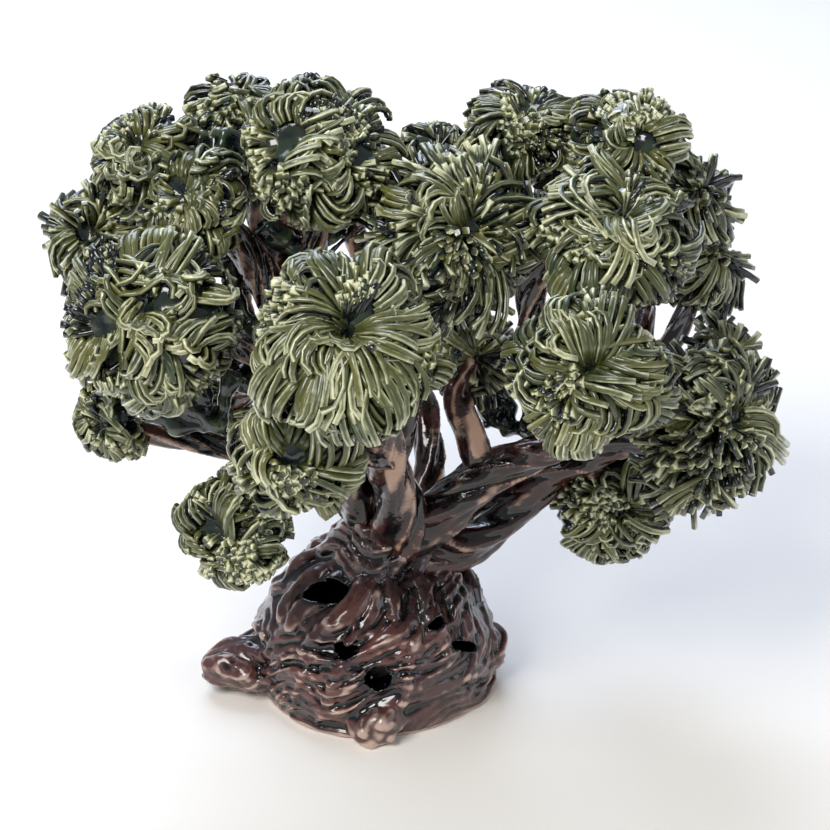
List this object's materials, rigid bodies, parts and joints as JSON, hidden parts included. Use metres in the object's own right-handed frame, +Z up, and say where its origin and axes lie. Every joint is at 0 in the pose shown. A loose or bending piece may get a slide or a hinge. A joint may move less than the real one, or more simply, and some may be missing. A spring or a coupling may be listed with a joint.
{
  "type": "ceramic tree ornament",
  "caption": "Glazed ceramic tree: a hollow mound of roots, a short trunk and curving limbs under separate tufts of pressed clay strands.",
  "frame": {"origin": "on the table under the tree, in the middle of its width and its depth", "axes": "+X to the right and -Y towards the viewer as the tree is shown from its front, +Z up"},
  "size_m": [0.22, 0.1894, 0.201],
  "materials": {
    "root_glaze": "glossy chocolate brown glaze that breaks to tan on the ridges",
    "wood_glaze": "glossy dark oxblood brown glaze, bare and tan on some faces",
    "leaf_glaze": "glossy olive green glaze, cream on the ridges and nearly black in the hollows"
  },
  "bodies": {
    "root": {"root_mound": "root_glaze", "left_root_toe": "root_glaze", "front_root_toe": "root_glaze", "right_root_toe": "root_glaze", "rear_root_toe": "root_glaze", "trunk": "wood_glaze", "right_upper_limb": "wood_glaze", "right_lower_limb": "wood_glaze", "left_limb": "wood_glaze", "front_limb": "wood_glaze", "rear_limb": "wood_glaze", "low_left_limb": "wood_glaze", "low_centre_limb": "wood_glaze", "upper_right_limb": "wood_glaze", "left_front_branch": "wood_glaze", "crown_left_branch": "wood_glaze", "left_edge_branch": "wood_glaze", "rear_crown_branch": "wood_glaze", "crown_centre_branch": "wood_glaze", "rear_left_branch": "wood_glaze", "far_left_branch": "wood_glaze", "low_left_branch": "wood_glaze", "low_front_branch": "wood_glaze", "centre_branch": "wood_glaze", "rear_centre_branch": "wood_glaze", "low_right_branch": "wood_glaze", "right_edge_branch": "wood_glaze", "rear_right_branch": "wood_glaze", "rear_far_branch": "wood_glaze", "crown_mid_branch": "wood_glaze", "crown_right_branch": "wood_glaze", "crown_edge_branch": "wood_glaze", "front_left_tuft": "leaf_glaze", "front_right_tuft": "leaf_glaze", "left_front_tuft": "leaf_glaze", "right_upper_tuft": "leaf_glaze", "crown_centre_tuft": "leaf_glaze", "centre_tuft": "leaf_glaze", "right_middle_tuft": "leaf_glaze", "crown_right_tuft": "leaf_glaze", "crown_left_tuft": "leaf_glaze", "inner_left_tuft": "leaf_glaze", "crown_mid_tuft": "leaf_glaze", "low_front_tuft": "leaf_glaze", "low_left_tuft": "leaf_glaze", "low_right_tuft": "leaf_glaze", "far_left_tuft": "leaf_glaze", "rear_tuft": "leaf_glaze", "rear_right_tuft": "leaf_glaze", "right_edge_tuft": "leaf_glaze", "crown_edge_tuft": "leaf_glaze", "rear_crown_tuft": "leaf_glaze", "rear_centre_tuft": "leaf_glaze", "left_edge_tuft": "leaf_glaze", "left_low_tuft": "leaf_glaze", "low_centre_tuft": "leaf_glaze", "rear_left_tuft": "leaf_glaze", "right_spray_tuft": "leaf_glaze"}
  },
  "joints": []
}
